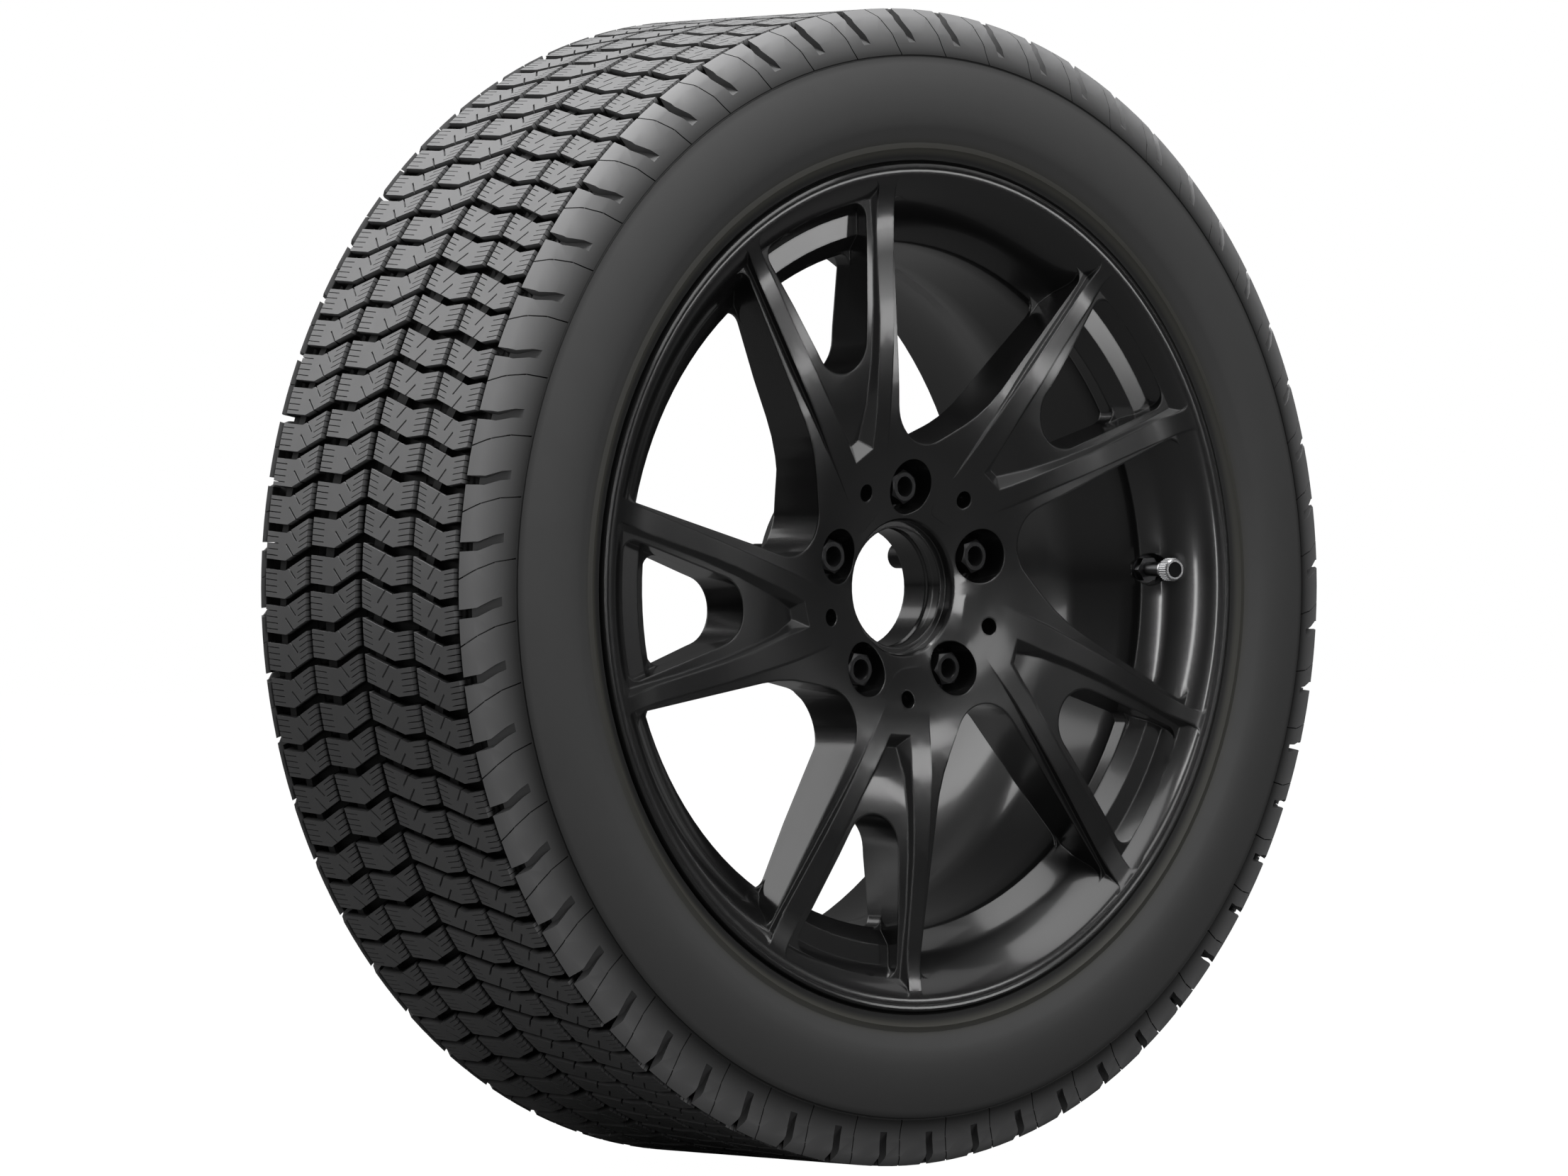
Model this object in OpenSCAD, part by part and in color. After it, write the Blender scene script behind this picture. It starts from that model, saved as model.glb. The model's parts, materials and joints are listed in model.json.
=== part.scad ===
// Road wheel: a cast five-sector wheel with ten arms, its tyre, wheel bolts and valve.
// The wheel's axle lies along Y, its outer face looks towards -Y, and the origin is its centre.

/* [Rim] */
// Diameter of the bead seats at the flanges
seat_d = 436.6; // [430:0.5:442]
// Width between the two rim flanges
rim_w = 177.8; // [172:0.1:184]
// Height of the rim flanges above the bead seats
flange_h = 17.3; // [15:0.1:19]
// Depth of the drop centre below the bead seats
well_depth = 21.3; // [18:0.1:23]
// Thickness of the barrel wall at the drop centre
barrel_wall = 7.5; // [6:0.5:9]

/* [Wheel face] */
// Distance from the rim's middle to the mounting face
wheel_offset = 44.8; // [40:0.1:48]
// Diameter of the mounting pad at the back
pad_d = 150; // [144:1:156]
// Diameter of the centre bore
bore_d = 66.6; // [60:0.1:70]
// Diameter of the shallow seat for a hub cap
cap_seat_d = 75; // [73:0.5:80]
// Depth of the hub cap's seat
cap_seat_depth = 5.9; // [4:0.1:8]
// Height of the hub face above the rim's middle
hub_face_h = 83; // [81:0.5:84]
// Height of the ledges above the rim's middle
ledge_h = 95.5; // [94:0.1:96.5]
// Height of the arm tops above the rim's middle
arm_h = 99.1; // [98:0.1:100.5]
// Diameter of the small blind holes
small_hole_d = 9.6; // [8:0.1:11]
// Depth of the small blind holes
small_hole_depth = 15; // [8:1:20]

/* [Wheel bolts] */
// Pitch circle diameter of the wheel bolts
bolt_circle_d = 112; // [110:0.1:114]
// Diameter of the bolt pockets
pocket_d = 30.5; // [28:0.1:31]
// Thread diameter of the wheel bolts
bolt_d = 14; // [12:0.5:14]
// Length of the bolts beyond the mounting face
bolt_reach = 27; // [22:1:32]
// Width across the flats of the bolt heads
bolt_flats = 17; // [16:1:18]
// Height of the bolt heads' hexagon
bolt_hex_h = 17; // [14:0.5:19]
// Height of the bolt heads above the rim's middle
bolt_top_h = 84.5; // [83:0.5:86]

/* [Tyre] */
// Diameter of the tyre over its tread
tyre_d = 643; // [638:1:650]
// Width of the tyre at its sidewalls
tyre_w = 216; // [212:1:220]
// Depth of the tread grooves
groove_depth = 8; // [6:0.5:9]
// Width of the two outer grooves that run round the tyre
outer_groove_w = 4.2; // [3:0.1:5]
// Half width of the middle groove
middle_groove_w = 6; // [4:0.5:7]
// Tread blocks round each of the four ribs
blocks = 100; // [90:1:104]
// Width of every other groove between the blocks
slot_w = 4.5; // [3:0.1:5.5]
// Width of the grooves between those
wide_slot_w = 5.6; // [4:0.1:6]
// Tread blocks round each shoulder
shoulder_blocks = 56; // [50:1:60]
// Width of the shoulder grooves
shoulder_slot_w = 5; // [4:0.5:6]

/* [Valve] */
// Diameter of the valve stem
stem_d = 8.2; // [7.8:0.1:8.6]
// Diameter of the valve stem's thread for the cap
cap_thread_d = 7.7; // [7:0.1:7.7]
// Length of the valve stem outside the rim
stem_out = 24; // [22:0.5:26]
// Diameter of the valve cap's grip
valve_cap_d = 13; // [12:0.1:14]
// Length of the valve cap's grip
grip_len = 8.5; // [7:0.5:10]
// Ribs round the valve cap's grip
cap_ribs = 30; // [24:1:36]
// Diameter of the valve hole in the rim
valve_hole_d = 11.5; // [11:0.1:12]
// Lean of the valve towards the axle, in degrees
valve_lean = 12; // [8:0.5:14]

/* [Hidden] */

sectors = 5;
sector_turn = 360 / sectors;
// Directions, in degrees up from the right, of the first bolt, small hole and valve
bolt_angle = 90;
small_hole_angle = 51.2;
valve_angle = 2.8;
seat_r = seat_d / 2;
flange_r = seat_r + flange_h;
half_rim = rim_w / 2;
well_r = seat_r - well_depth;
barrel_r = well_r - barrel_wall;
lip_r = flange_r - 7.3;
lip_h = half_rim + 13.1;
band_r = lip_r - 25;
edge_r = lip_r - 35.3;
edge_h = 73;
// Where the windows end, just inside the lip's curved wall
window_r = lip_r - 10.8;
round_fn = 180;

// The unit vector along v
function unit(v) = v / norm(v);
// The point with polar distance r at angle a
function polar(r, a) = [r * cos(a), r * sin(a)];
// Points of a circle's arc from angle a to angle b
function arc(r, a, b, steps) = [for (i = [0:steps]) polar(r, a + (b - a) * i / steps)];
// Points of a smooth curve from a to c that is drawn towards b
function curve(a, b, c, steps) =
  [for (i = [0:steps]) let (t = i / steps) (1 - t) * (1 - t) * a + 2 * t * (1 - t) * b + t * t * c];
// An angle brought into the range from -180 to 180
function wrap(a) = a - 360 * round(a / 360);
// The arc of radius r that rounds corner b between its neighbours a and c
function round_corner(a, b, c, r) =
  let (u = unit(a - b), v = unit(c - b), half = acos(u * v) / 2, centre = b + unit(u + v) * r / sin(half),
       p = b + u * r / tan(half) - centre, q = b + v * r / tan(half) - centre,
       first = atan2(p[1], p[0]), turn = wrap(atan2(q[1], q[0]) - first),
       steps = max(2, ceil(abs(turn) / 9)))
  [for (i = [0:steps]) centre + polar(r, first + turn * i / steps)];
// A closed outline whose points are [x, y, corner radius]
function rounded(points) =
  [for (i = [0:len(points) - 1])
    let (count = len(points), before = points[(i + count - 1) % count], here = points[i],
         after = points[(i + 1) % count])
    each here[2] == 0 ? [[here[0], here[1]]]
      : round_corner([before[0], before[1]], [here[0], here[1]], [after[0], after[1]], here[2])];
function mirrored(points) = [for (i = [len(points) - 1:-1:0]) [points[i][0], -points[i][1]]];
// Where the line from p towards q reaches the circle of radius r
function reach(p, q, r) = let (d = unit(q - p), b = p * d) p + d * (sqrt(b * b - p * p + r * r) - b);
// A window's outer side along the circle of radius r, from side line to side line, with round corners
function rim_side(p, p_far, q, q_far, r, corner) =
  let (a = reach(p, p_far, r), b = reach(q, q_far, r), first = atan2(a[1], a[0]), last = atan2(b[1], b[0]),
       steps = floor((first - last) / 5))
  concat([[a[0], a[1], corner]],
    [for (i = [1:steps - 1]) let (c = polar(r, first + (last - first) * i / steps)) [c[0], c[1], 0]],
    [[b[0], b[1], corner]]);

// Turns a shape drawn with its axis along Z and its outer face upward into the wheel's frame
module face_frame() {
  rotate([90, 0, 0])
    children();
}

// Repeats a shape that is drawn with the small hole straight up, once for each sector
module each_sector() {
  for (k = [0:sectors - 1])
    rotate([0, 0, small_hole_angle - 90 + k * sector_turn])
      children();
}

module spin(points) {
  rotate_extrude($fn = round_fn)
    polygon(points);
}

// Half outline of the rim's outside, from the flange's tip to the hump beside the bead seat
flange_outline = [[flange_r - 3.8, lip_h], [flange_r - 3.2, lip_h + 0.7], [flange_r - 2, lip_h + 0.9],
  [flange_r - 0.8, lip_h + 0.3], [flange_r - 0.1, lip_h - 1.2], [flange_r, half_rim + 9.5],
  [flange_r - 0.6, half_rim + 5.6], [flange_r - 2.4, half_rim + 2.7], [flange_r - 5, half_rim + 1],
  [flange_r - 8, half_rim], [seat_r + 3.4, half_rim], [seat_r + 1, half_rim - 1.1],
  [seat_r, half_rim - 3.6]];
hump_outline = [[seat_r - 1.3, half_rim - 18.9], [seat_r - 0.5, half_rim - 22.4],
  [seat_r - 1.4, half_rim - 25]];
lip_wall = curve([band_r, edge_h + 6.3], [lip_r - 11.8, lip_h - 4.5], [lip_r, lip_h], 9);

module rim() {
  spin(concat(flange_outline, hump_outline,
    [[seat_r - 4.5, 61.5], [well_r + 2, 54], [well_r, 51], [well_r, 10], [seat_r - 6.3, -42],
     [seat_r - 4.3, -half_rim + 27]],
    mirrored(hump_outline), mirrored(flange_outline),
    [[flange_r - 5.5, -lip_h], [flange_r - 7.5, -lip_h + 5], [flange_r - 12, -half_rim - 6],
     [seat_r - 4, -half_rim - 5.5], [seat_r - 7, -half_rim + 20], [seat_r - 12, -40],
     [barrel_r, 10], [barrel_r + 1, 45], [edge_r - 1.5, edge_h - 3], [edge_r, edge_h]],
    lip_wall));
}

// Height profile of the ledges between the arms and of the web's back
module web_profile() {
  polygon(concat([[20, hub_face_h]],
    curve([cap_seat_d / 2, hub_face_h], [66, ledge_h], [127, ledge_h + 0.3], 8),
    [[180, ledge_h - 0.3], [lip_r - 7.5, ledge_h - 0.5], [lip_r - 8.3, half_rim + 3.2],
     [lip_r - 15.5, edge_h + 9], [edge_r + 9, edge_h + 1], [edge_r - 3, 72], [150, 66.5], [100, 62],
     [pad_d / 2 + 5, wheel_offset + 10], [pad_d / 2, wheel_offset], [20, wheel_offset]]));
}

// Height profile of the arm tops, which rise in a short curve to the lip
module arm_profile() {
  polygon(concat(
    curve([40, hub_face_h + 1.6], [84, arm_h - 0.9], [152, arm_h], 8),
    curve([200, arm_h - 0.7], [lip_r - 12, arm_h - 0.5], [lip_r + 0.4, lip_h], 5),
    [[lip_r + 0.4, half_rim + 3.6], [lip_r - 19, half_rim - 1], [110, hub_face_h + 5],
     [40, hub_face_h - 5]]));
}

// Outline of a pair of arms with the hub's raised island; the arms flare into the lip
arm_pair = rounded([[-14.5, 48, 4], [-11, 43.3, 3], [1, 45.3, 5], [8.3, 49, 6], [12.5, 57.5, 8],
  [106.9, 202, 5], [117.6, 196.2, 0], [121, 223, 0], [60, 232, 0], [-20, 236, 0], [-20, 227.8, 0],
  [-8.3, 228.4, 5], [-9.1, 200, 0], [-12.2, 150, 0], [-14.5, 100, 0]]);

// The narrow window between the two arms of a pair, out to the circle of radius r
fork = [10.2, 83.5];
fork_left = [5.4, 217.6];
fork_right = [84.2, 200.6];
function narrow_window(r, corner) =
  rounded(concat([[fork[0], fork[1], 19]], rim_side(fork, fork_left, fork, fork_right, r, corner)));

// The wide window between two pairs of arms, out to the circle of radius r
wide_left = [26.7, 62.7];
wide_left_far = [112, 208.9];
wide_right = [96, 53.9];
wide_right_far = [203.6, 77.6];
function wide_window(r, corner) =
  rounded(concat([[wide_left[0], wide_left[1], 22.4]],
    rim_side(wide_left, wide_left_far, wide_right, wide_right_far, r, corner),
    [[wide_right[0], wide_right[1], 100]]));

// Where the inner edges of a pair's arms turn, and where they reach the lip
left_turn = [-2.1, 107];
left_end = [0.6, 230];
right_turn = [38.7, 115];
right_end = [95, 207];

// The space beside a line at the height of the arm tops; below them its face leans in by lean per mm
module beside(p, q, side, lean) {
  translate([p[0], p[1], arm_h])
    rotate([0, 0, atan2(q[1] - p[1], q[0] - p[0])])
      rotate([90, 0, 90])
        linear_extrude(height = 300, center = true)
          polygon([[0, 12], [0, 0], [side * 12 * lean, -12], [side * 120, -12], [side * 120, 12]]);
}

// Cuts the recess between the arms of a pair, from its square tip at the hub to the lip
module recess_cut() {
  intersection() {
    rotate([90, 0, 90])
      translate([0, 0, -20])
        linear_extrude(height = 140)
          polygon([[80, arm_h - 3.6], [89, arm_h - 10.8], [105, arm_h - 6.6], [125, arm_h - 4.3],
            [150, arm_h - 3], [180, arm_h - 2.7], [206, arm_h - 3.6], [240, arm_h - 4.5], [240, 112],
            [80, 112]]);
    linear_extrude(height = 2 * arm_h)
      polygon(rounded(concat([[24, 78, 0], [-6, 78, 0], [left_turn[0], left_turn[1], 0]],
        rim_side(left_turn, left_end, right_turn, right_end, lip_r + 0.1, 5),
        [[right_turn[0], right_turn[1], 0]])));
    union() {
      beside(left_turn, left_end, -1, 0.8);
      beside([-4.5, 88], left_turn, -1, 1);
    }
    union() {
      beside(right_turn, right_end, 1, 0.9);
      beside([22, 84.3], right_turn, 1, 1);
    }
  }
}

// Cuts a window: up to level it ends in tight round corners at deep_r, above it reaches the lip's wall
module narrow_window_cut() {
  level = edge_h + 9;
  translate([0, 0, wheel_offset])
    linear_extrude(height = level - wheel_offset)
      polygon(narrow_window(edge_r - 1.8, 8));
  translate([0, 0, level - 0.01])
    linear_extrude(height = 30)
      polygon(narrow_window(window_r, 8));
}

module wide_window_cut() {
  level = edge_h + 1;
  translate([0, 0, wheel_offset])
    linear_extrude(height = level - wheel_offset)
      polygon(wide_window(edge_r + 2.6, 10));
  translate([0, 0, level - 0.01])
    linear_extrude(height = 40)
      polygon(wide_window(window_r, 7));
}

module spokes() {
  difference() {
    union() {
      rotate_extrude($fn = round_fn)
        web_profile();
      intersection() {
        rotate_extrude($fn = round_fn)
          arm_profile();
        each_sector()
          linear_extrude(height = 2 * arm_h)
            polygon(arm_pair);
      }
    }
    each_sector() {
      narrow_window_cut();
      wide_window_cut();
      recess_cut();
    }
  }
}

// The raised stretch of the rim's band that shows through a narrow window
module raised_band() {
  intersection() {
    spin([[edge_r - 3.4, edge_h - 1], [edge_r - 3.4, edge_h + 8], [edge_r + 6, edge_h + 15],
      [band_r + 9, edge_h + 15.5], [band_r + 9, edge_h - 1]]);
    linear_extrude(height = arm_h)
      polygon([[-2, 150], [-2, 230], [96, 230], [96, 200], [66, 150]]);
  }
}

// The bore's profile from the hub face to the back
module bore_cut() {
  ledge = hub_face_h - cap_seat_depth;
  spin([[0, wheel_offset - 1], [bore_d / 2 + 2.5, wheel_offset - 1], [bore_d / 2 + 2.5, wheel_offset],
    [bore_d / 2, wheel_offset + 2.5], [bore_d / 2, wheel_offset + 20],
    [bore_d / 2 + 1.2, wheel_offset + 21.2], [bore_d / 2 + 1.2, wheel_offset + 25],
    [bore_d / 2, wheel_offset + 26.2], [bore_d / 2, ledge], [cap_seat_d / 2, ledge],
    [cap_seat_d / 2, hub_face_h - 1], [cap_seat_d / 2 + 2, hub_face_h + 1.5], [0, hub_face_h + 1.5]]);
}

// The ball seat of a wheel bolt, shared by the wheel and the bolt
ball_r = 13;
collar_r = 12.5;
seat_top_h = bolt_top_h - bolt_hex_h - 3;
ball_h = seat_top_h + sqrt(ball_r * ball_r - collar_r * collar_r);
bolt_clearance = 0.4;
hole_r = bolt_d / 2 + bolt_clearance;
seat_bottom_h = ball_h - sqrt(ball_r * ball_r - hole_r * hole_r);
function ball_seat(from_r, steps) =
  let (first = asin(from_r / ball_r), last = asin(collar_r / ball_r))
  [for (i = [0:steps]) let (a = first + (last - first) * i / steps)
    [ball_r * sin(a), ball_h - ball_r * cos(a)]];

module bolt_cut() {
  spin(concat([[0, wheel_offset - 1], [hole_r, wheel_offset - 1]], ball_seat(hole_r, 6),
    [[pocket_d / 2, seat_top_h], [pocket_d / 2, 110], [0, 110]]));
}

module at_bolt(k) {
  rotate([0, 0, bolt_angle + k * sector_turn])
    translate([bolt_circle_d / 2, 0, 0])
      children();
}

// Places a shape at the valve hole: Z runs outward along the valve and starts at the rim's band
valve_r = band_r - 5.3;
valve_h = edge_h + 3;
module at_valve() {
  rotate([0, 0, valve_angle])
    translate([valve_r, 0, valve_h])
      rotate([0, -valve_lean, 0])
        children();
}

recess_d = 18;
recess_depth = 8;
valve_wall = 6;
valve_seat = -recess_depth - valve_wall;
module valve_cut() {
  translate([0, 0, -recess_depth])
    cylinder(d = recess_d, h = 20, $fn = round_fn);
  translate([0, 0, valve_seat - 1])
    cylinder(d = valve_hole_d, h = 12, $fn = round_fn);
  translate([0, 0, valve_seat - 24])
    cylinder(d = 16.6, h = 24, $fn = round_fn);
}

module alloy_wheel() {
  color([0.16, 0.16, 0.17])
    face_frame()
      difference() {
        union() {
          rim();
          spokes();
          each_sector()
            raised_band();
        }
        bore_cut();
        for (k = [0:sectors - 1])
          at_bolt(k)
            bolt_cut();
        each_sector()
          translate([0, 62.46, 89 - small_hole_depth])
            cylinder(d = small_hole_d, h = small_hole_depth + 10, $fn = round_fn);
        at_valve()
          valve_cut();
      }
}

// A wheel bolt with a hollow hexagon head, a collar and a ball seat
module wheel_bolt(k) {
  tip_h = wheel_offset - bolt_reach;
  shank_r = bolt_d / 2 - 0.6;
  hex_r = bolt_flats / 2 / cos(30);
  color([0.2, 0.2, 0.21])
    face_frame()
      at_bolt(k)
        difference() {
          union() {
            spin(concat([[0, tip_h], [bolt_d / 2 - 1.5, tip_h], [bolt_d / 2, tip_h + 1.5],
              [bolt_d / 2, wheel_offset - 1.6], [shank_r, wheel_offset - 1], [shank_r, seat_bottom_h - 0.4]],
              ball_seat(hole_r, 6), [[collar_r, seat_top_h + 2], [collar_r - 1.5, seat_top_h + 3],
              [0, seat_top_h + 3]]));
            intersection() {
              translate([0, 0, seat_top_h + 2])
                cylinder(r = hex_r, h = bolt_hex_h + 1, $fn = 6);
              spin([[0, seat_top_h], [hex_r + 1, seat_top_h], [hex_r + 1, bolt_top_h - 2.2],
                [bolt_flats / 2 - 0.6, bolt_top_h], [0, bolt_top_h]]);
            }
          }
          spin([[0, bolt_top_h - 11], [5.2, bolt_top_h - 11], [5.2, bolt_top_h - 1], [6.2, bolt_top_h + 1],
            [0, bolt_top_h + 1]]);
        }
}

// Zigzag path of the grooves between the blocks: offset round the tyre, distance from the middle
block_path = [[0, 83], [1.8, 69], [-6.9, 43.6], [-5.4, 28], [-14.4, 0], [-5, -22], [-6.9, -43.6],
  [2, -64], [0.5, -83]];
shoulder_path = [[0, -4], [-1, 6], [-5, 14], [-8, 24], [-9, 34]];
block_phase = 1.04;
shoulder_phase = 2.38;
function band(path, w) = concat([for (p = path) [p[0] - w / 2, p[1]]],
  [for (i = [len(path) - 1:-1:0]) [path[i][0] + w / 2, path[i][1]]]);
tread_r = tyre_d / 2;
groove_r = tread_r - groove_depth;
half_tyre = tyre_w / 2;
rib_edge = 80.5;
outer_groove = 41.3;

// Half outline of the tyre's outside, from the rim's flange to the tread's middle
tyre_side = concat(
  [[flange_r + 0.3, lip_h - 4], [flange_r + 1.5, lip_h - 1.5], [flange_r + 5, half_tyre - 7],
   [flange_r + 8, half_tyre - 5], [flange_r + 11, half_tyre - 5.6], [flange_r + 19, half_tyre - 2]],
  curve([flange_r + 22, half_tyre - 1], [flange_r + 40, half_tyre + 1.5], [301, 98], 5),
  [[308, 95.5], [317, 90.5], [tread_r, 84.7], [groove_r, 84.2], [groove_r, rib_edge + 0.5],
   [tread_r, rib_edge], [tread_r, outer_groove + outer_groove_w + 0.5],
   [groove_r, outer_groove + outer_groove_w], [groove_r, outer_groove + 0.5],
   [tread_r, outer_groove], [tread_r, middle_groove_w / 2], [groove_r, middle_groove_w / 2 - 0.5]]);
bead_outline = [for (i = [len(flange_outline) - 1:-1:5]) flange_outline[i]];

module tyre_body() {
  spin(concat([hump_outline[0]], bead_outline, tyre_side, mirrored(tyre_side), mirrored(bead_outline),
    [[hump_outline[0][0], -hump_outline[0][1]]],
    [[238, -half_rim + 8], [268, -half_tyre + 10], [290, -half_tyre + 16], [303, -72], [309, 0],
     [303, 72], [290, half_tyre - 16], [268, half_tyre - 10], [238, half_rim - 8]]));
}

module tyre() {
  color([0.2, 0.2, 0.2])
    face_frame()
      difference() {
        tyre_body();
        for (k = [0:blocks - 1])
          rotate([0, 0, block_phase + k * 360 / blocks])
            translate([groove_r + 0.6, 0, 0])
              rotate([90, 0, 90])
                linear_extrude(height = 12)
                  polygon(band(block_path, k % 2 == 0 ? slot_w : wide_slot_w));
        for (k = [0:shoulder_blocks - 1], side = [1, -1])
          rotate([0, 0, shoulder_phase + k * 360 / shoulder_blocks])
            translate([groove_r, 0, side * 83])
              rotate([90, 0, 90])
                mirror([0, side < 0 ? 1 : 0, 0])
                  rotate([-38, 0, 0])
                    linear_extrude(height = 16)
                      polygon(band(shoulder_path, shoulder_slot_w));
      }
}

// The valve: every height below is measured along the valve from the rim's band
core_r = 2.6;
core_base = stem_out - 14;
running_gap = 0.05;
pin_r = 0.7;

module valve_stem() {
  color([0.55, 0.55, 0.56])
    face_frame()
      at_valve()
        spin([[1.6, valve_seat - 4], [7.5, valve_seat - 4], [7.5, valve_seat - 2],
          [stem_d / 2, valve_seat - 2], [stem_d / 2, stem_out - 11], [cap_thread_d / 2, stem_out - 10.6],
          [cap_thread_d / 2, stem_out - 0.5], [cap_thread_d / 2 - 0.5, stem_out], [core_r, stem_out],
          [core_r, core_base], [1.6, core_base - 1.5]]);
}

module valve_grommet() {
  color([0.1, 0.1, 0.1])
    face_frame()
      at_valve()
        spin([[stem_d / 2, valve_seat - 2], [7.8, valve_seat - 2], [7.8, valve_seat],
          [valve_hole_d / 2, valve_seat], [valve_hole_d / 2, -recess_depth], [stem_d / 2, -recess_depth]]);
}

module valve_washer() {
  color([0.6, 0.6, 0.61])
    face_frame()
      at_valve()
        spin([[stem_d / 2, -recess_depth], [7.6, -recess_depth], [7.6, -recess_depth + 1],
          [stem_d / 2, -recess_depth + 1]]);
}

module valve_nut() {
  color([0.5, 0.5, 0.51])
    face_frame()
      at_valve()
        translate([0, 0, -recess_depth + 1])
          difference() {
            cylinder(r = 7.3, h = 5, $fn = 6);
            translate([0, 0, -1])
              cylinder(d = stem_d, h = 7, $fn = round_fn);
          }
}

module valve_core_body() {
  color("gold")
    face_frame()
      at_valve()
        spin([[pin_r + running_gap, core_base + 6], [1.7, core_base + 6], [1.7, core_base + 8],
          [core_r, core_base + 8], [core_r, stem_out - 1.5], [pin_r + running_gap, stem_out - 1.5]]);
}

module valve_core_gasket() {
  color([0.15, 0.15, 0.15])
    face_frame()
      at_valve()
        spin([[1.7, core_base + 6.2], [core_r, core_base + 6.2], [core_r, core_base + 8],
          [1.7, core_base + 8]]);
}

module valve_core_pin() {
  color("gold")
    face_frame()
      at_valve()
        translate([0, 0, core_base - 4])
          cylinder(r = pin_r, h = stem_out - 0.6 - core_base + 4, $fn = round_fn);
}

module valve_core_plunger() {
  color([0.15, 0.15, 0.15])
    face_frame()
      at_valve()
        spin([[pin_r, core_base + 4.6], [2, core_base + 4.6], [2, core_base + 6],
          [pin_r, core_base + 6]]);
}

// The core's spring, a closed sleeve of its outer shape
module valve_core_spring() {
  color([0.7, 0.7, 0.7])
    face_frame()
      at_valve()
        spin([[pin_r + 0.15, core_base], [1.9, core_base], [1.9, core_base + 4.6],
          [pin_r + 0.15, core_base + 4.6]]);
}

cap_top = stem_out + 2;
module valve_cap() {
  rib_r = 0.55;
  color([0.35, 0.36, 0.38])
    face_frame()
      at_valve()
        difference() {
          spin([[cap_thread_d / 2 + running_gap, stem_out - 9.5], [5, stem_out - 9.5], [5.3, stem_out - 9],
            [5.3, cap_top - grip_len - 0.5], [valve_cap_d / 2 - 0.8, cap_top - grip_len],
            [valve_cap_d / 2, cap_top - grip_len + 0.8], [valve_cap_d / 2, cap_top - 1],
            [valve_cap_d / 2 - 1, cap_top], [4.4, cap_top], [4.4, cap_top - 0.6], [0, cap_top - 0.6],
            [0, stem_out + 0.8], [cap_thread_d / 2 + running_gap, stem_out + 0.8]]);
          for (k = [0:cap_ribs - 1])
            rotate([0, 0, k * 360 / cap_ribs])
              translate([valve_cap_d / 2 + 0.1, 0, cap_top - grip_len + 0.6])
                cylinder(r = rib_r, h = grip_len + 1, $fn = round_fn);
        }
}

module valve_cap_seal() {
  color([0.15, 0.15, 0.15])
    face_frame()
      at_valve()
        translate([0, 0, stem_out])
          difference() {
            cylinder(d = cap_thread_d, h = 0.8, $fn = round_fn);
            translate([0, 0, -1])
              cylinder(r = 1.5, h = 3, $fn = round_fn);
          }
}

module valve_cap_disc() {
  color([0.6, 0.6, 0.62])
    face_frame()
      at_valve()
        translate([0, 0, cap_top - 0.6])
          cylinder(r = 4.4, h = 0.45, $fn = round_fn);
}

alloy_wheel();
tyre();
wheel_bolt(0);  // wheel_bolt_1
wheel_bolt(1);  // wheel_bolt_2
wheel_bolt(2);  // wheel_bolt_3
wheel_bolt(3);  // wheel_bolt_4
wheel_bolt(4);  // wheel_bolt_5
valve_stem();
valve_grommet();
valve_washer();
valve_nut();
valve_core_body();
valve_core_gasket();
valve_core_pin();
valve_core_spring();
valve_core_plunger();
valve_cap();
valve_cap_seal();
valve_cap_disc();
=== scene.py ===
import bpy
import json
import math
from mathutils import Matrix, Vector

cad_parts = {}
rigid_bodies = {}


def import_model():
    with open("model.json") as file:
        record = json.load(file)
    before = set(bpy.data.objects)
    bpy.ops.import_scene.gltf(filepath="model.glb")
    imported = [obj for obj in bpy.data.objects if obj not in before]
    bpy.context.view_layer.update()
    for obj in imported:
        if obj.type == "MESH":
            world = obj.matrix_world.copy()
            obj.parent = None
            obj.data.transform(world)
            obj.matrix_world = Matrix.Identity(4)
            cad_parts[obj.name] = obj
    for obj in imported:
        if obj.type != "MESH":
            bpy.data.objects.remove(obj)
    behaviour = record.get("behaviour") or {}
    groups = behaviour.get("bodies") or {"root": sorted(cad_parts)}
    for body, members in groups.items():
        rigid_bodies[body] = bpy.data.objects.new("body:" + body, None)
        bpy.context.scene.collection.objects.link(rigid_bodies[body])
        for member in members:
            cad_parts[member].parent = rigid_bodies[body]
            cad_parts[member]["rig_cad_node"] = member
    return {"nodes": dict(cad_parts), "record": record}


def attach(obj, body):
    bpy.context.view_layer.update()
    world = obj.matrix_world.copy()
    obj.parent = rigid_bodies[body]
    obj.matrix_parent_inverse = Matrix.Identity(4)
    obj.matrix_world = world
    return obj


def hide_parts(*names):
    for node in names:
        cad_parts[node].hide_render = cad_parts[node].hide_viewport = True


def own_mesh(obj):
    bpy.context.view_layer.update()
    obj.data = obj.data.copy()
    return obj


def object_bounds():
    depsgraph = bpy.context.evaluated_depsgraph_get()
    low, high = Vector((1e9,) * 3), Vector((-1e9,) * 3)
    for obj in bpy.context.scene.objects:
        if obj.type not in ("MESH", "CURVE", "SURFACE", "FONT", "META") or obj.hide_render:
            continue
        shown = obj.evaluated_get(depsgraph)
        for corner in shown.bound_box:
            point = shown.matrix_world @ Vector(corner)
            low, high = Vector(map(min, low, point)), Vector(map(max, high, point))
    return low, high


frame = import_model()
cadBox = [list(corner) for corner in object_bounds()]
print("frame loaded:", len(frame["nodes"]), "nodes")


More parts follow.
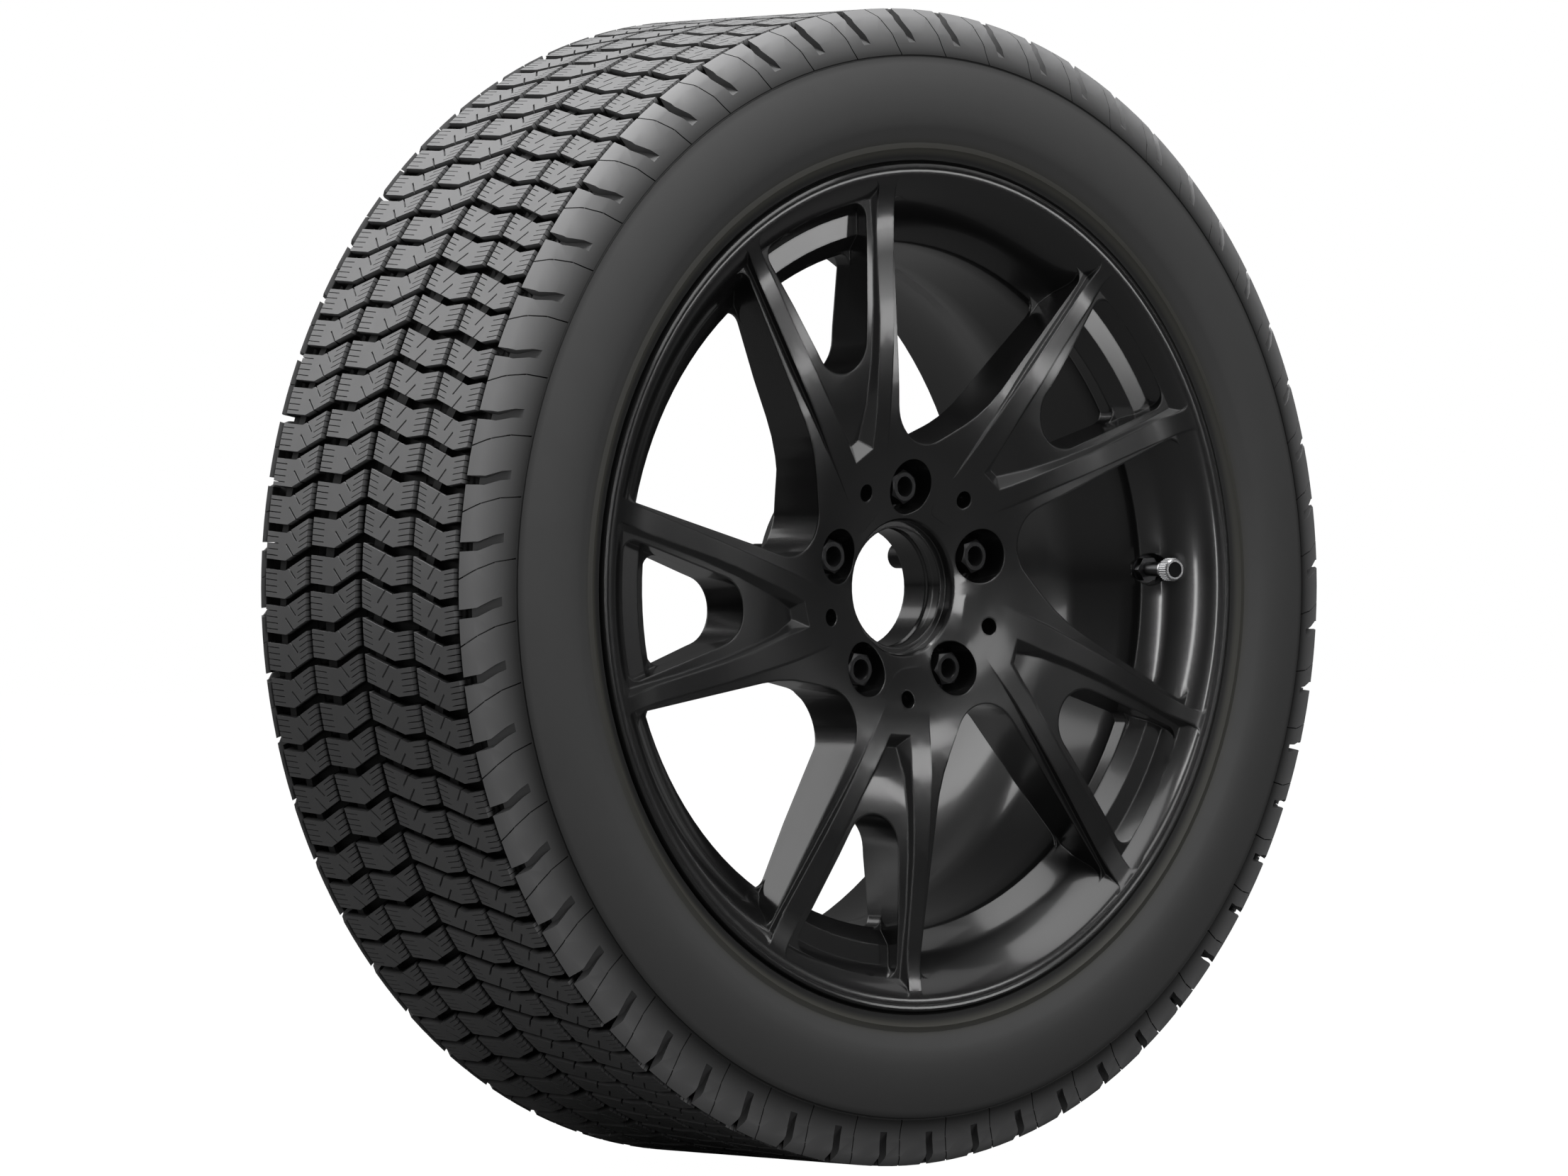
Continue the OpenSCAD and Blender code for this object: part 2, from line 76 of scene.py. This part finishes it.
class Signal:  # wraps one shader socket, so that maths on it adds its Math nodes
    def __init__(self, tree, socket=None):
        self.tree = tree
        self.socket = socket

    def add(self, kind, settings=None, sockets=None, output=0):
        node = self.tree.nodes.new(kind)
        for name, value in (settings or {}).items():
            if name == "stops":
                ramp = node.color_ramp.elements
                while len(ramp) < len(value):
                    ramp.new(0.5)
                for stop, (place, tone) in zip(ramp, value):
                    stop.position = place
                    stop.color = tone
            else:
                setattr(node, name, value)
        for name, value in (sockets or {}).items():
            if isinstance(value, Signal):
                self.tree.links.new(value.socket, node.inputs[name])
            else:
                node.inputs[name].default_value = value
        return Signal(self.tree, node.outputs[output])

    def maths(self, operation, first, second=0.0):
        return self.add("ShaderNodeMath", {"operation": operation}, {0: first, 1: second})

    def __add__(self, other):
        return self.maths("ADD", self, other)

    __radd__ = __add__

    def __sub__(self, other):
        return self.maths("SUBTRACT", self, other)

    def __rsub__(self, other):
        return self.maths("SUBTRACT", other, self)

    def __mul__(self, other):
        return self.maths("MULTIPLY", self, other)

    __rmul__ = __mul__

    def __truediv__(self, other):
        return self.maths("DIVIDE", self, other)

    def __rtruediv__(self, other):
        return self.maths("DIVIDE", other, self)

    def __lt__(self, other):
        return self.maths("LESS_THAN", self, other)

    def __gt__(self, other):  # the reflected form of less than
        return self.maths("GREATER_THAN", self, other)


def newFinish(name, constants):  # returns a material, its shader and a Signal to build on
    finish = bpy.data.materials.new(name)
    finish.use_nodes = True
    tree = finish.node_tree
    shader = tree.nodes["Principled BSDF"]
    for socket, value in constants.items():
        shader.inputs[socket].default_value = value
    return finish, shader, Signal(tree)


def feed(shader, socket, signal):
    signal.tree.links.new(signal.socket, shader.inputs[socket])


def mixColours(start, amount, first, second):
    sockets = {"Factor": amount, "A": first, "B": second}
    return start.add("ShaderNodeMix", {"data_type": "RGBA"}, sockets, output=2)


def noise(start, place, scale):
    return start.add("ShaderNodeTexNoise", sockets={"Vector": place, "Scale": scale, "Detail": 3.0})


def bump(start, height, strength, distance, below=None):
    sockets = {"Height": height, "Strength": strength, "Distance": distance}
    if below is not None:
        sockets["Normal"] = below
    return start.add("ShaderNodeBump", sockets=sockets)


def objectPlace(start):
    return start.add("ShaderNodeTexCoord", output=3)


# Noise scales count per metre, depth and edge are in metres
paint = {"colour": (0.006, 0.006, 0.0063, 1), "worn": (0.009, 0.009, 0.009, 1), "clouds": 24.0,
         "roughness": 0.22, "rougher": 0.05, "smears": 60.0,
         "peel": 900.0, "peelStrength": 0.006, "peelDepth": 0.0002,
         "edge": 0.0015, "edgeSamples": 8, "specular": 0.5, "coat": 0.7, "coatRoughness": 0.1}


def blackPaint():
    finish, shader, start = newFinish("blackPaint", {
        "Coat Weight": paint["coat"], "Coat Roughness": paint["coatRoughness"],
        "Specular IOR Level": paint["specular"]})
    place = objectPlace(start)
    clouds = noise(start, place, paint["clouds"])
    feed(shader, "Base Color", mixColours(start, clouds, paint["colour"], paint["worn"]))
    smears = noise(start, place, paint["smears"])
    feed(shader, "Roughness", paint["roughness"] + paint["rougher"] * smears)
    rounded = start.add("ShaderNodeBevel", {"samples": paint["edgeSamples"]}, {"Radius": paint["edge"]})
    peel = noise(start, place, paint["peel"])
    feed(shader, "Normal", bump(start, peel, paint["peelStrength"], paint["peelDepth"], rounded))
    return finish


# Reach is the distance from the axle and height the distance from the middle plane, both in metres.
# The bands are shares of the way from rimReach to rimReach + wallReach.
# The groove colour is painted shade: near black, it is laid on the grooves and cuts below the block tops.
rubber = {"rim": (0.012, 0.012, 0.012, 1), "ridge": (0.045, 0.044, 0.038, 1),
          "side": (0.056, 0.056, 0.056, 1), "shoulder": (0.013, 0.013, 0.013, 1),
          "top": (0.2, 0.2, 0.202, 1), "groove": (0.002, 0.002, 0.002, 1), "dust": (0.03, 0.03, 0.03, 1),
          "bands": ((0.0, "rim"), (0.04, "rim"), (0.07, "ridge"), (0.1, "ridge"), (0.16, "side"),
                    (0.62, "side"), (0.68, "shoulder"), (0.93, "top")),
          "rimReach": 0.2356, "wallReach": 0.0885, "grooveReach": 0.3178, "blockReach": 0.3206,
          "treadHeight": 0.0845, "edgeHeight": 0.084, "edgeFall": 0.9,
          "dustScale": 60.0, "dustShare": 0.15, "roughness": 0.5, "rougher": 0.08, "specular": 0.3,
          "grain": 1400.0, "grainStrength": 0.06, "grainDepth": 0.0003}


def tyreRubber():  # tone by the reach along the wall, with painted shade darkening the grooves between the blocks
    finish, shader, start = newFinish("tyreRubber", {"Specular IOR Level": rubber["specular"]})
    place = objectPlace(start)
    x, y, z = [start.add("ShaderNodeSeparateXYZ", sockets={"Vector": place}, output=i) for i in range(3)]
    reach = start.maths("SQRT", x * x + z * z)
    height = start.maths("ABSOLUTE", y)
    stops = [(step, rubber[band]) for step, band in rubber["bands"]]
    share = (reach - rubber["rimReach"]) / rubber["wallReach"]
    wall = start.add("ShaderNodeValToRGB", {"stops": stops}, {"Fac": share})
    # Painted shade: the deeper a surface lies below the block tops, the more it fades to the near-black
    # groove colour.
    fall = start.maths("MAXIMUM", height - rubber["edgeHeight"], 0.0)
    grooveShadeDepth = start.add("ShaderNodeMapRange", sockets={
        "Value": reach + rubber["edgeFall"] * fall, "From Min": rubber["grooveReach"],
        "From Max": rubber["blockReach"], "To Min": 1.0, "To Max": 0.0})
    groove = (height < rubber["treadHeight"]) * grooveShadeDepth
    tone = mixColours(start, groove, wall, rubber["groove"])
    dust = noise(start, place, rubber["dustScale"])
    feed(shader, "Base Color", mixColours(start, rubber["dustShare"] * dust, tone, rubber["dust"]))
    feed(shader, "Roughness", rubber["roughness"] + rubber["rougher"] * dust)
    grain = noise(start, place, rubber["grain"])
    feed(shader, "Normal", bump(start, grain, rubber["grainStrength"], rubber["grainDepth"]))
    return finish


# Slot: the material's name, its colour, its second colour, roughness and metallic
plain = {
    "bolt_metal": ("darkBoltCoating", (0.018, 0.018, 0.02, 1), (0.03, 0.03, 0.03, 1), 0.3, 0.6),
    "stem_metal": ("stemMetal", (0.1, 0.1, 0.105, 1), (0.06, 0.06, 0.06, 1), 0.3, 1.0),
    "cap_metal": ("capMetal", (0.62, 0.62, 0.63, 1), (0.5, 0.5, 0.51, 1), 0.22, 1.0),
    "disc_metal": ("discMetal", (0.012, 0.012, 0.013, 1), (0.02, 0.02, 0.02, 1), 0.3, 1.0),
    "brass": ("turnedBrass", (0.75, 0.55, 0.25, 1), (0.6, 0.42, 0.2, 1), 0.25, 1.0),
    "spring_steel": ("springSteel", (0.6, 0.6, 0.6, 1), (0.45, 0.45, 0.45, 1), 0.25, 1.0),
    "seal_rubber": ("sealRubber", (0.02, 0.02, 0.02, 1), (0.035, 0.035, 0.035, 1), 0.6, 0.0),
}
surface = {"patches": 200.0, "smears": 500.0, "rougher": 0.1,
           "pits": 2500.0, "pitStrength": 0.05, "pitDepth": 0.0002}


def plainFinish(name, colour, second, roughness, metallic):
    finish, shader, start = newFinish(name, {"Metallic": metallic})
    place = objectPlace(start)
    patches = noise(start, place, surface["patches"])
    feed(shader, "Base Color", mixColours(start, patches, colour, second))
    smears = noise(start, place, surface["smears"])
    feed(shader, "Roughness", roughness + surface["rougher"] * smears)
    pits = noise(start, place, surface["pits"])
    feed(shader, "Normal", bump(start, pits, surface["pitStrength"], surface["pitDepth"]))
    return finish


finishes = {"black_alloy": blackPaint(), "tyre_rubber": tyreRubber()}
for slot, values in plain.items():
    finishes[slot] = plainFinish(*values)
print("finishes made:", len(finishes))


behaviour = frame["record"]["behaviour"]
joints = {joint["name"]: joint for joint in behaviour["joints"]}
bodyOf = {node: body for body, nodes in behaviour["bodies"].items() for node in nodes}
slotOf = {part["node"]: part["material_slot"] for part in frame["record"]["subparts"]}
mesh = {"weld": 0.000002, "smooth": 28.0, "flat": 0.3}  # metres, then degrees


def selectOnly(*pieces):  # the first one becomes the active one
    bpy.ops.object.select_all(action="DESELECT")
    for piece in pieces:
        piece.select_set(True)
    bpy.context.view_layer.objects.active = pieces[0]


def reworkMesh(operation, **values):  # one mesh operation on the whole active piece, then smooth shading
    bpy.ops.object.mode_set(mode="EDIT")
    bpy.ops.mesh.select_all(action="SELECT")
    operation(**values)
    bpy.ops.object.mode_set(mode="OBJECT")
    bpy.ops.object.shade_smooth_by_angle(angle=math.radians(mesh["smooth"]))


def smoothCopy(node, body):  # a merged copy of a CAD node, with its round faces shaded smooth
    selectOnly(bpy.data.objects[node])
    bpy.ops.object.duplicate()
    piece = bpy.context.object
    piece.name = node + "_dressed"
    del piece["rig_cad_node"]  # the copy is a piece of its own
    bpy.ops.mesh.customdata_custom_splitnormals_clear()
    reworkMesh(bpy.ops.mesh.remove_doubles, threshold=mesh["weld"])
    piece.data.materials.clear()
    piece.data.materials.append(finishes[slotOf[node]])
    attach(piece, body)
    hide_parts(node)


for node in slotOf:
    smoothCopy(node, bodyOf[node])
print("pieces dressed:", len(slotOf))


# Millimetres and degrees: places along the tread count from a block's middle, heights from the wheel's
# middle and levels from the surface. The drifts at the heights are the zigzag of the cross grooves.
# Sipe ends and bars are pairs of heights, and a slit goes from one place and height to another.
tread = {"radius": 321.5, "count": 100, "start": 0.76, "sipe": 0.5, "slit": 1.1, "cutLevels": (-6, 3),
         "bar": 6.3, "barLevels": (-9, -3.5),
         "heights": (83, 69, 43.6, 28, 0, -22, -43.6, -64, -83),
         "drifts": (0, 1.8, -6.9, -5.4, -14.4, -5, -6.9, 2, 0.5),
         "sipePlaces": (-5.03, -1.68, 1.68, 5.03),
         "sipeEnds": ((81.5, 72.4), (45.2, 52.7), (42.1, 31.9), (2.4, 10.5), (-2.4, -10.8), (-42.1, -31.5),
                      (-45.2, -53.2), (-81.5, -70.8)),
         "slits": ((-0.78, 66.3, 7.9, 60.6), (-7.9, 64.1, 0.83, 58.4), (-0.66, 24.6, 8.0, 18.1),
                   (-7.9, 22.4, 0.95, 15.7), (-8.0, -18.9, 0.7, -12.6), (-1.7, -21.9, 7.9, -15.1),
                   (-8.1, -61.2, 0.68, -55.1), (-1.8, -64, 7.9, -57.2)),
         "bars": ((59.75, 53.5), (16.7, 8.5), (-26, -33), (-67, -72))}
# The line of a curved cut has places along the tread, heights and distances from the axle
shoulder = {"count": 56, "start": 0.834, "width": 0.7, "levels": (-2.5, 4), "gap": 0.02,
            "ring": 294.6, "ringHeight": 100.4, "ringWidth": 0.8, "ringSteps": 180, "ringSides": 8,
            "line": ((0, 83.7, 322.5), (-6.3, 91.6, 315), (-10.3, 96.2, 306), (-12.3, 100.1, 294.6))}


def treadPlace(along, height):  # on the tread's top, in metres, where the blocks' zigzag has drifted
    heights, drifts = tread["heights"], tread["drifts"]
    span = next(i for i in range(len(heights) - 1) if heights[i + 1] <= height)
    share = (heights[span] - height) / (heights[span] - heights[span + 1])
    drift = drifts[span] + share * (drifts[span + 1] - drifts[span])
    return Vector((-(drift + along), -height, tread["radius"])) / 1000


def addBar(start, end, width, levels, outward=Vector((0, 0, 1))):  # a straight bar along a surface
    low, high = levels
    along = (end - start).normalized()
    across = along.cross(outward).normalized()
    up = across.cross(along)
    middle = (start + end) / 2 + up * (low + high) / 2000
    bpy.ops.mesh.primitive_cube_add(size=1, location=middle)
    bar = bpy.context.object
    bar.scale = (width / 1000, (end - start).length, (high - low) / 1000)
    bar.rotation_euler = Matrix((across, along, up)).transposed().to_euler()
    return bar


def roundTheTyre(bars, count, start):  # joins the bars of one block and repeats them round the axle
    selectOnly(*bars)
    bpy.ops.object.join()
    ring = bpy.context.object
    bpy.ops.object.transform_apply(location=True, rotation=True, scale=True)
    bpy.ops.object.empty_add(rotation=(0, 2 * math.pi / count, 0))
    turn = bpy.context.object
    bpy.context.view_layer.objects.active = ring
    repeat = ring.modifiers.new("round", "ARRAY")
    repeat.use_relative_offset = False
    repeat.use_object_offset = True
    repeat.offset_object = turn
    repeat.count = count
    bpy.ops.object.modifier_apply(modifier="round")
    bpy.data.objects.remove(turn)
    selectOnly(ring)
    ring.rotation_euler = (0, math.radians(start), 0)
    bpy.ops.object.transform_apply(location=True, rotation=True, scale=True)
    return ring


def carve(piece, tool, operation="DIFFERENCE"):
    bpy.context.view_layer.objects.active = piece
    cut = piece.modifiers.new("cut", "BOOLEAN")
    cut.operation = operation
    cut.solver = "MANIFOLD"
    cut.object = tool
    bpy.ops.object.modifier_apply(modifier="cut")
    bpy.data.objects.remove(tool)


def treadCuts():
    cuts = [addBar(treadPlace(along, start), treadPlace(along, end), tread["sipe"], tread["cutLevels"])
            for start, end in tread["sipeEnds"] for along in tread["sipePlaces"]]
    for first, start, last, end in tread["slits"]:
        places = treadPlace(first, start), treadPlace(last, end)
        cuts.append(addBar(*places, tread["slit"], tread["cutLevels"]))
    return roundTheTyre(cuts, tread["count"], tread["start"])


def tieBars():  # low bars in the cross grooves, half a pitch from the block's middle
    halfPitch = math.pi * tread["radius"] / tread["count"]
    ties = [addBar(treadPlace(halfPitch, start), treadPlace(halfPitch, end), tread["bar"],
                   tread["barLevels"]) for start, end in tread["bars"]]
    return roundTheTyre(ties, tread["count"], tread["start"])


def shoulderCuts(side):  # the thin curved cuts in the middle of the shoulder blocks of one side
    places = [Vector((-along, -side * height, radius)) / 1000 for along, height, radius in shoulder["line"]]
    cuts = []
    for start, end in zip(places, places[1:]):
        outward = Vector((0, -side * (start.z - end.z), abs(end.y) - abs(start.y)))
        gap = (end - start) * shoulder["gap"]
        cuts.append(addBar(start, end - gap, shoulder["width"], shoulder["levels"], outward))
    return roundTheTyre(cuts, shoulder["count"], shoulder["start"])


def ringCut(side):  # the thin line round the sidewall, below the shoulder
    bpy.ops.mesh.primitive_torus_add(
        location=(0, -side * shoulder["ringHeight"] / 1000, 0), rotation=(math.pi / 2, 0, 0),
        major_segments=shoulder["ringSteps"], minor_segments=shoulder["ringSides"],
        major_radius=shoulder["ring"] / 1000, minor_radius=shoulder["ringWidth"] / 1000)
    return bpy.context.object


def dressTyre():
    piece = bpy.data.objects["tyre_dressed"]
    carve(piece, tieBars(), "UNION")
    carve(piece, treadCuts())
    for side in (1, -1):
        carve(piece, shoulderCuts(side))
        carve(piece, ringCut(side))
    selectOnly(piece)
    reworkMesh(bpy.ops.mesh.dissolve_limited, angle_limit=math.radians(mesh["flat"]))
    print("tread cut:", len(piece.data.polygons), "faces")


dressTyre()


def loadSpring():  # reads the valve core spring's length along the plunger's push and the stroke, and gives the spring a mesh of its own
    spring = bpy.data.objects["valve_core_spring_dressed"]
    push = Vector(joints["valve_pin_push"]["axis"]).normalized()
    places = [push.dot(corner.co) for corner in spring.data.vertices]
    stroke = joints["valve_pin_push"]["range_m"][1]
    1 - stroke / (max(places) - min(places))
    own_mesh(spring)


loadSpring()
print("spring ready")


# Metres and degrees, lens and sensor in millimetres
view = {"place": (-3.3772, -3.7883, 0.0294), "heading": -41.591, "tilt": 89.66, "lens": 207.05,
        "sensor": 36.0, "farEnd": 100.0}


def setCamera():
    camera = bpy.data.cameras.new("photoView")
    camera.lens = view["lens"]
    camera.sensor_width = view["sensor"]
    camera.clip_end = view["farEnd"]
    holder = bpy.data.objects.new("photoView", camera)
    holder.location = view["place"]
    holder.rotation_euler = (math.radians(view["tilt"]), 0.0, math.radians(view["heading"]))
    bpy.context.scene.collection.objects.link(holder)
    bpy.context.scene.camera = holder


ground = {"size": 24.0, "colour": (0.06, 0.06, 0.06, 1), "roughness": 0.9, "glow": 1.25, "glowShare": 0.8}
room = {"everywhere": 0.05, "seen": 0.95, "mirrored": 0.02}  # strengths that add up


def addFloor():  # it glows for the camera only, so that it looks white and hardly lights the wheel
    bpy.ops.object.select_all(action="DESELECT")
    bpy.ops.mesh.primitive_plane_add(size=ground["size"], location=(0, 0, cadBox[0][2]))
    floor = bpy.context.object
    floor.name = "floor"
    finish, shader, start = newFinish("paleFloor", {"Base Color": ground["colour"],
                                                    "Roughness": ground["roughness"]})
    seen = start.add("ShaderNodeLightPath", output=0)
    glow = start.add("ShaderNodeEmission", sockets={"Color": (1, 1, 1, 1), "Strength": ground["glow"]})
    plainFloor = Signal(finish.node_tree, shader.outputs[0])
    sockets = {0: ground["glowShare"] * seen, 1: plainFloor, 2: glow}
    blend = start.add("ShaderNodeMixShader", sockets=sockets)
    outcome = finish.node_tree.nodes["Material Output"]
    finish.node_tree.links.new(blend.socket, outcome.inputs["Surface"])
    floor.data.materials.append(finish)


def setWorld():
    world = bpy.data.worlds.new("paleRoom")
    world.use_nodes = True
    bpy.context.scene.world = world
    start = Signal(world.node_tree)
    seen = start.add("ShaderNodeLightPath", output=0)
    mirrored = start.add("ShaderNodeLightPath", output=3)
    strength = room["everywhere"] + room["seen"] * seen + room["mirrored"] * mirrored
    background = world.node_tree.nodes["Background"]
    background.inputs["Color"].default_value = (1, 1, 1, 1)
    feed(background, "Strength", strength)


# Place, width and height in metres, power in watts
lamps = {
    "key": {"place": (-0.5, 0.1, 3.2), "wide": 1.6, "tall": 1.6, "power": 180.0},
    "frontTop": {"place": (0.4, -2.5, 2.9), "wide": 2.8, "tall": 2.8, "power": 60.0},
    "frontRight": {"place": (1.33, -1.55, 0.18), "wide": 0.22, "tall": 0.16, "power": 0.75},
    "hubSide": {"place": (0.79, -1.69, 0.28), "wide": 0.3, "tall": 0.3, "power": 0.9},
    "frontStrip": {"place": (0.1, -3.0, 0.35), "wide": 0.3, "tall": 1.6, "power": 12.0},
    "cameraSide": {"place": (-1.6, -2.25, 0.42), "wide": 0.16, "tall": 1.4, "power": 9.0},
    "topRight": {"place": (1.66, -0.95, 1.62), "wide": 0.9, "tall": 0.9, "power": 1.5},
    "behind": {"place": (-1.0, 3.3, 1.3), "wide": 2.2, "tall": 2.2, "power": 26.0},
}


def addLamp(name, place, wide, tall, power):  # each lamp faces the wheel's middle
    lamp = bpy.data.lights.new(name, "AREA")
    lamp.shape = "RECTANGLE"
    lamp.size = wide
    lamp.size_y = tall
    lamp.energy = power
    holder = bpy.data.objects.new(name, lamp)
    holder.location = place
    holder.rotation_euler = (-Vector(place)).to_track_quat("-Z", "Y").to_euler()
    bpy.context.scene.collection.objects.link(holder)


setCamera()
addFloor()
setWorld()
for name, values in lamps.items():
    addLamp(name, **values)
bpy.context.scene.view_settings.view_transform = "Standard"
print("stage set")
